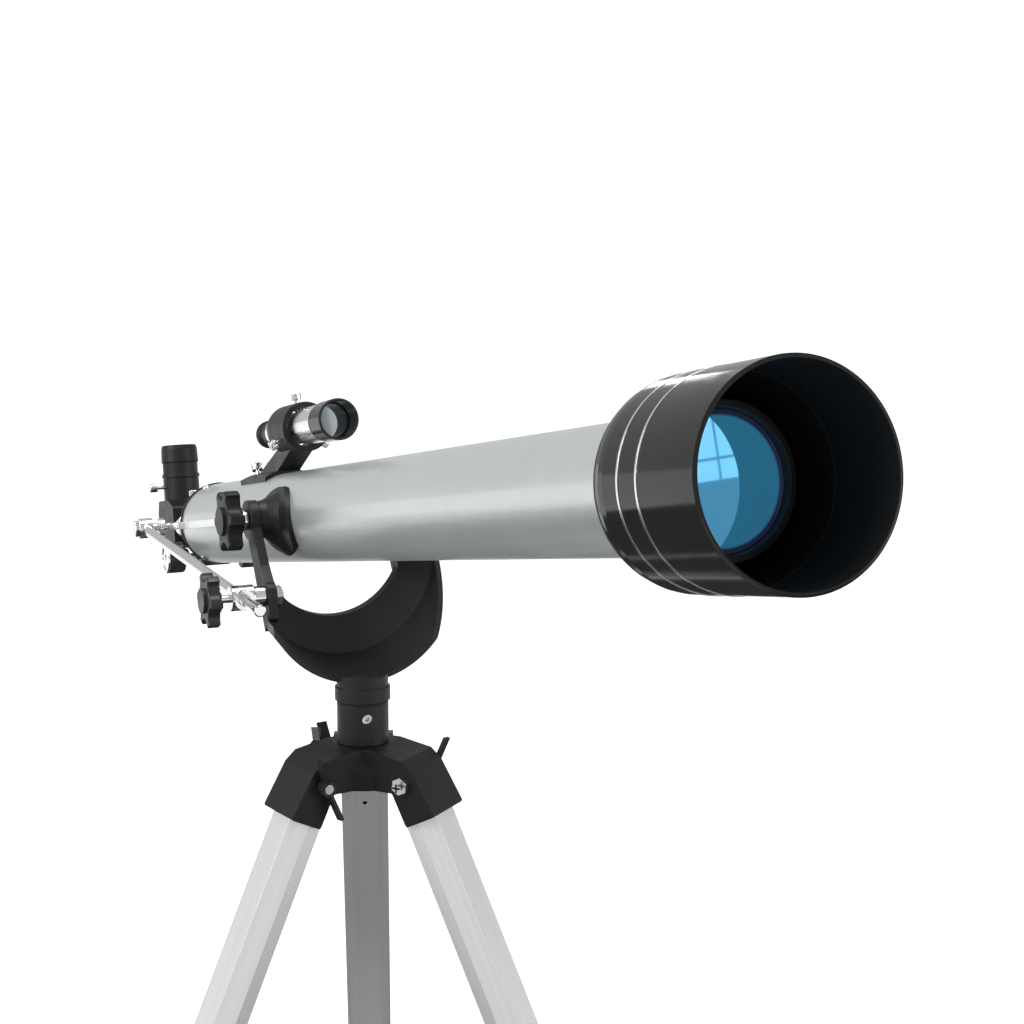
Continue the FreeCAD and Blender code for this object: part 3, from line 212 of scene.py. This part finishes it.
def hood_plastic():
    """Glossy black outside, flat black inside, told apart by the distance from the axis."""
    g = Graph("hood_plastic")
    outside = g.spread(g.from_axis(), 0.0, 1.0, SHIELD_INSIDE_R, SHIELD_INSIDE_R + 0.0004)
    cloud = g.noise(30.0, 4.0)
    gloss_tone = g.mix(cloud, colour(0.008, 0.008, 0.008), colour(0.013, 0.013, 0.013))
    g.link("Base Color", g.mix(outside, colour(0.0070, 0.0060, 0.0056), gloss_tone))
    marks = g.spread(g.noise(55.0, 8.0, 0.7), 0.07, 0.17, 0.3, 0.7)
    rough = g.add("ShaderNodeMix", {0: outside, 2: 0.62, 3: marks}).outputs[0]
    g.link("Roughness", rough)
    g.set(Specular_IOR_Level=0.25)
    grain = g.math("MULTIPLY", g.noise(2600.0, 2.0), g.spread(outside, 1.0, 0.04))
    g.bump(grain, 0.00005, 0.5, bevel=FINE_BEVEL)
    return g.material


def bright_metal(name, tone, roughness, scratch):
    """Plated or polished metal with hairline scratches and slight dulling."""
    g = Graph(name)
    haze = g.noise(60.0, 6.0, 0.7)
    g.link("Base Color", g.mix(haze, colour(*(x * 0.90 for x in tone)), colour(*tone)))
    g.link("Roughness", g.spread(haze, roughness, roughness + scratch, 0.35, 0.7))
    g.set(Metallic=1.0)
    g.bump(g.noise(900.0, 3.0), 0.00001, 0.35, bevel=FINE_BEVEL)
    return g.material


def black_and_bright(name, beyond, outward):
    """Black plastic and bright metal in one piece, told apart by how far out they stand along Y."""
    g = Graph(name)
    across = g.math("ABSOLUTE", g.add("ShaderNodeSeparateXYZ", {0: g.place}).outputs[1])
    metal = g.spread(across, 0.0, 1.0, beyond, beyond + 0.0002)
    if not outward:
        metal = g.math("SUBTRACT", 1.0, metal)
    marks = g.noise(70.0, 8.0, 0.7)
    plastic = g.mix(marks, colour(0.008, 0.008, 0.008), colour(0.014, 0.014, 0.014))
    g.link("Base Color", g.mix(metal, plastic, colour(0.80, 0.80, 0.81)))
    g.link("Metallic", metal)
    rough = g.add("ShaderNodeMix", {0: metal, 2: g.spread(marks, 0.34, 0.48, 0.3, 0.7), 3: 0.12})
    g.link("Roughness", rough.outputs[0])
    g.bump(g.noise(1600.0, 3.0), 0.00003, 0.5, bevel=BROAD_BEVEL)
    return g.material


def brushed_leg(number, azimuth):
    """Anodised extrusion with drawing lines that run down the leg."""
    g = Graph("leg_%d_aluminium" % number)
    grain_at = g.along(math.radians(azimuth), -SPLAY, (2600.0, 2600.0, 9.0))
    grain = g.noise(1.0, 5.0, 0.7, at=grain_at)
    broad_at = g.along(math.radians(azimuth), -SPLAY, (260.0, 260.0, 3.0))
    broad = g.noise(1.0, 3.0, at=broad_at)
    tone = g.mix(broad, colour(0.66, 0.665, 0.67), colour(0.80, 0.805, 0.81))
    fine = g.spread(grain, 0.93, 1.05, 0.3, 0.7)
    lined = g.vector("MULTIPLY", tone, fine)
    g.link("Base Color", lined)
    g.link("Roughness", g.spread(grain, 0.30, 0.46, 0.3, 0.7))
    g.set(Metallic=0.8)
    g.bump(grain, 0.000015, 0.5, bevel=FINE_BEVEL)
    return g.material


def coated_glass(name, face, metallic, roughness, painted_glow=0.0, rim=0.0):
    """Coated glass seen against a dark tube; it may have a faint painted glow, standing in for
    light inside the tube, and a dark rim.
    """
    g = Graph(name)
    haze = g.noise(22.0, 3.0)
    tone = g.mix(haze, colour(*(x * 0.94 for x in face)), colour(*face))
    if rim:
        dark = g.spread(g.from_axis(), 0.0, 1.0, rim, rim + 0.0012)
        tone = g.mix(dark, tone, colour(0.020, 0.026, 0.070))
    g.link("Base Color", tone)
    g.link("Roughness", g.spread(g.noise(90.0, 5.0), roughness, roughness + 0.015))
    g.set(Metallic=metallic, Coat_Weight=0.5, Coat_Roughness=0.01)
    # Painted glow: the glass emits its own tint, standing in for light scattered inside the tube.
    if painted_glow:
        g.link("Emission Color", tone)
        g.set(Emission_Strength=painted_glow)
    return g.material


MATERIALS = {
    "tube_silver": painted_tube(),
    "gloss_black": hood_plastic(),
    "satin_black": black("satin_plastic", 0.009, 0.40, 1900.0, 0.00005),
    "cast_black": black("casting_paint", 0.010, 0.42, 1100.0, 0.00006, wear=0.12),
    "flat_black": black("flat_paint", 0.006, 0.70, 1800.0, 0.00004, wear=0.0),
    "chrome": bright_metal("bright_chrome", (0.80, 0.80, 0.81), 0.08, 0.10),
    "bright_band": bright_metal("polished_band", (0.88, 0.88, 0.88), 0.16, 0.08),
    "steel": bright_metal("zinc_steel", (0.62, 0.62, 0.63), 0.20, 0.14),
    # The objective glass carries a painted glow of 0.44, standing in for light inside the tube.
    "lens_glass": coated_glass("lens_coating", (0.042, 0.27, 0.48), 0.85, 0.02, 0.44, LENS_RIM),
    "clear_glass": coated_glass("finder_glass", (0.22, 0.25, 0.27), 0.70, 0.05),
    "mirror": bright_metal("front_mirror", (0.92, 0.92, 0.93), 0.02, 0.02),
    "rubber": black("foot_rubber", 0.020, 0.75, 1400.0, 0.00006, wear=0.02),
}
SPECIAL = {
    "focus_knobs": black_and_bright("focus_knob_finish", KNOB_FACE, True),
    "clamp_knob": black_and_bright("clamp_knob_finish", CLAMP_SHAFT, False),
    "lens_retaining_ring": black("ring_gloss", 0.014, 0.16, 1500.0, 0.00002, wear=0.04, coat=0.7),
    "tripod_head": black("head_plastic", 0.005, 0.46, 1500.0, 0.00005, wear=0.06),
}


def finish_nodes():
    """Give every CAD node the finish of its record slot; each leg gets its own grain."""
    slots = {part["node"]: part["material_slot"] for part in frame["record"]["subparts"]}
    legs = {str(k): brushed_leg(k, a) for k, a in enumerate(LEG_AZIMUTHS, start=1)}
    for name, node in NODES.items():
        slot = slots[name]
        material = legs[name[4]] if slot == "leg_aluminium" else SPECIAL.get(name, MATERIALS[slot])
        for place in node.material_slots:
            place.material = material


# ---------------------------------------------------------------- pieces finer than the CAD mesh

def new_piece(name, vertices, faces, material, body, smooth=True):
    """Mesh piece that moves with a body."""
    mesh = bpy.data.meshes.new(name)
    mesh.from_pydata([tuple(v) for v in vertices], [], faces)
    mesh.materials.append(material)
    for face in mesh.polygons:
        face.use_smooth = smooth
    thing = bpy.data.objects.new(name, mesh)
    bpy.context.scene.collection.objects.link(thing)
    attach(thing, body)
    return thing


def turned(name, profile, material, body, sides=144):
    """Closed surface from (along, radius) points turned about the tube's axis."""
    vertices = []
    for along, radius in profile:
        for k in range(sides):
            angle = 2 * math.pi * k / sides
            vertices.append(tube_point(along, radius * math.cos(angle), radius * math.sin(angle)))
    faces = []
    for ring in range(len(profile) - 1):
        for k in range(sides):
            n = (k + 1) % sides
            a, b = ring * sides, (ring + 1) * sides
            faces.append((a + k, b + k, b + n, a + n))
    return new_piece(name, vertices, faces, material, body)


def lens_profile(front, rear, front_bulge, rear_bulge, steps=24):
    """Front face from the middle outwards, then the rear face back to the middle."""
    rim = [LENS_R * max(k, 0.02) / steps for k in range(steps + 1)]
    shape = [(front + front_bulge * (1 - (r / LENS_R) ** 2), r) for r in rim]
    return shape + [(rear + rear_bulge * (1 - (r / LENS_R) ** 2), r) for r in reversed(rim)]


def smooth_lenses():
    """The two objective lenses with even curvature, for clean reflections."""
    mm = 0.001
    crown = lens_profile(LENS_FACE - 0.6 * mm, LENS_FACE - 3.6 * mm, 0.5 * mm, -1.4 * mm)
    flint = lens_profile(LENS_FACE - 3.8 * mm, LENS_FACE - 8.8 * mm, -1.4 * mm, 0.6 * mm)
    for name, profile in (("objective_crown", crown), ("objective_flint", flint)):
        piece = turned(name, profile, MATERIALS["lens_glass"], "optical_tube")
        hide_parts("objective_lenses")


def paint_recess_shades():
    """Dark cross on each hinge bolt's head, standing slightly proud of it: painted shade for the
    shade inside its cross slot.
    """
    # Painted shade: a near-black cross stands in for the shade inside the bolt head's cross slot.
    dark = black("painted_recess_shade", 0.004, 0.6, 1500.0, 0.00003, wear=0.0)
    long, short = RECESS_LONG, RECESS_SHORT
    for number, azimuth in enumerate(LEG_AZIMUTHS, start=1):
        out = direction(azimuth, 0.0)
        side = Vector((-out.y, out.x, 0.0))
        centre = out * HINGE_R + Vector((0, 0, HINGE_Z)) - side * (HINGE_HEAD_OUT + RECESS_PROUD)
        up = Vector((0, 0, 1))
        corners = [(-long, -short), (-short, -short), (-short, -long),
                   (short, -long), (short, -short), (long, -short),
                   (long, short), (short, short), (short, long),
                   (-short, long), (-short, short), (-long, short)]
        vertices = [centre + out * x + up * z for x, z in corners]
        vertices += [v + side * RECESS_DEPTH for v in vertices]
        count = len(corners)
        faces = [tuple(range(count)), tuple(reversed(range(count, 2 * count)))]
        faces += [(k, k + count, (k + 1) % count + count, (k + 1) % count) for k in range(count)]
        name = "hinge_bolt_%d_recess" % number
        piece = new_piece(name, vertices, faces, dark, "tripod_head", smooth=False)


# ---------------------------------------------------------------- stage

def sheet(name, half, height, material):
    """Level square at a height."""
    mesh = bpy.data.meshes.new(name)
    corners = [(x * half, y * half, height) for x, y in ((-1, -1), (1, -1), (1, 1), (-1, 1))]
    mesh.from_pydata(corners, [], [(0, 1, 2, 3)])
    mesh.materials.append(material)
    plane = bpy.data.objects.new(name, mesh)
    bpy.context.scene.collection.objects.link(plane)
    return plane


def floor():
    """Plain pale floor, and a dark card on it that only reflections see."""
    pale = Graph("pale_floor")
    pale.set(Base_Color=colour(0.90, 0.90, 0.90), Roughness=0.9, Specular_IOR_Level=0.1)
    pale.set(Emission_Color=colour(1, 1, 1), Emission_Strength=FLOOR_GLOW)
    sheet("floor", FLOOR_HALF, 0.0, pale.material)
    dark = Graph("dark_card")
    dark.set(Base_Color=colour(0.035, 0.035, 0.035), Roughness=0.9, Specular_IOR_Level=0.1)
    card = sheet("dark_card", CARD_HALF, CARD_LIFT, dark.material)
    card.visible_camera = False
    card.visible_diffuse = False
    card.visible_shadow = False
    card.visible_transmission = False


def soft_light(name, position, target, size, power, only=()):
    """Square soft box aimed at a point; it may be kept to a few nodes."""
    lamp = bpy.data.lights.new(name, "AREA")
    lamp.shape = "SQUARE"
    lamp.size = size
    lamp.energy = power
    thing = bpy.data.objects.new(name, lamp)
    bpy.context.scene.collection.objects.link(thing)
    thing.location = position
    thing.rotation_euler = (Vector(target) - Vector(position)).to_track_quat("-Z", "Y").to_euler()
    thing.visible_camera = False
    if only:
        group = bpy.data.collections.new(name + "_receivers")
        for node in only:
            group.objects.link(NODES[node])
        thing.light_linking.receiver_collection = group


def window_light(target):
    """Bright panes with thin bars between them, as a studio window that the lens reflects."""
    centre = target + direction(26.3, 17.0) * WINDOW_AWAY
    facing = (target - centre).to_track_quat("Z", "Y").to_matrix().to_4x4()
    glow = Graph("window_glow")
    glow.set(Base_Color=colour(0, 0, 0), Emission_Color=colour(1, 1, 1))
    glow.set(Emission_Strength=WINDOW_GLOW)
    for i, (x0, x1) in enumerate(WINDOW_COLUMNS):
        for k, (y0, y1) in enumerate(WINDOW_ROWS):
            name = "window_pane_%d_%d" % (i, k)
            corners = [(x0, y0, 0), (x1, y0, 0), (x1, y1, 0), (x0, y1, 0)]
            mesh = bpy.data.meshes.new(name)
            mesh.from_pydata(corners, [], [(0, 1, 2, 3)])
            mesh.materials.append(glow.material)
            pane = bpy.data.objects.new(name, mesh)
            bpy.context.scene.collection.objects.link(pane)
            pane.matrix_world = Matrix.Translation(centre) @ facing
            pane.visible_camera = False
            pane.visible_diffuse = False


def surroundings():
    """White behind the object, and an even softer grey for light and reflections."""
    world = bpy.data.worlds.new("studio")
    bpy.context.scene.world = world
    world.use_nodes = True
    tree = world.node_tree
    seen = tree.nodes.new("ShaderNodeBackground")
    seen.inputs["Color"].default_value = colour(1.0, 1.0, 1.0)
    seen.inputs["Strength"].default_value = SEEN_LEVEL
    lit = tree.nodes["Background"]
    lit.inputs["Color"].default_value = colour(1.0, 1.0, 1.0)
    lit.inputs["Strength"].default_value = LIT_LEVEL
    path = tree.nodes.new("ShaderNodeLightPath")
    either = tree.nodes.new("ShaderNodeMixShader")
    tree.links.new(path.outputs["Is Camera Ray"], either.inputs[0])
    tree.links.new(lit.outputs[0], either.inputs[1])
    tree.links.new(seen.outputs[0], either.inputs[2])
    tree.links.new(either.outputs[0], tree.nodes["World Output"].inputs["Surface"])


def studio():
    """Surroundings, soft boxes, the hood's own streak of light, and the window."""
    surroundings()
    soft_light("key", (0.1, -2.7, 2.7), STUDIO_CENTRE, size=1.7, power=70.0)
    soft_light("top", (-0.1, 0.2, 3.8), STUDIO_CENTRE, size=1.2, power=40.0)
    soft_light("right", (1.9, 2.0, 1.5), STUDIO_CENTRE, size=1.0, power=18.0)
    hood = tube_point(SHIELD_MIDDLE, 0.0, 0.0)
    away = direction(161.0, 11.0) * STREAK_AWAY
    soft_light("streak", hood + away, hood, size=0.22, power=2.4,
               only=("dew_shield", "dew_shield_rings"))
    window_light(tube_point(LENS_FACE, 0.0, 0.0))


def camera():
    """Camera beside the tube's front and a little above it."""
    data = bpy.data.cameras.new("camera")
    data.sensor_width = 36.0
    data.lens = 68.5
    data.shift_x = -0.003
    thing = bpy.data.objects.new("camera", data)
    bpy.context.scene.collection.objects.link(thing)
    thing.location = (1.1191, -0.3891, 1.5109)
    look = -direction(-23.77, 9.01)
    thing.rotation_euler = look.to_track_quat("-Z", "Y").to_euler()
    bpy.context.scene.camera = thing


bpy.context.scene.view_settings.view_transform = "Standard"
camera()
studio()
floor()
finish_nodes()
smooth_lenses()
paint_recess_shades()
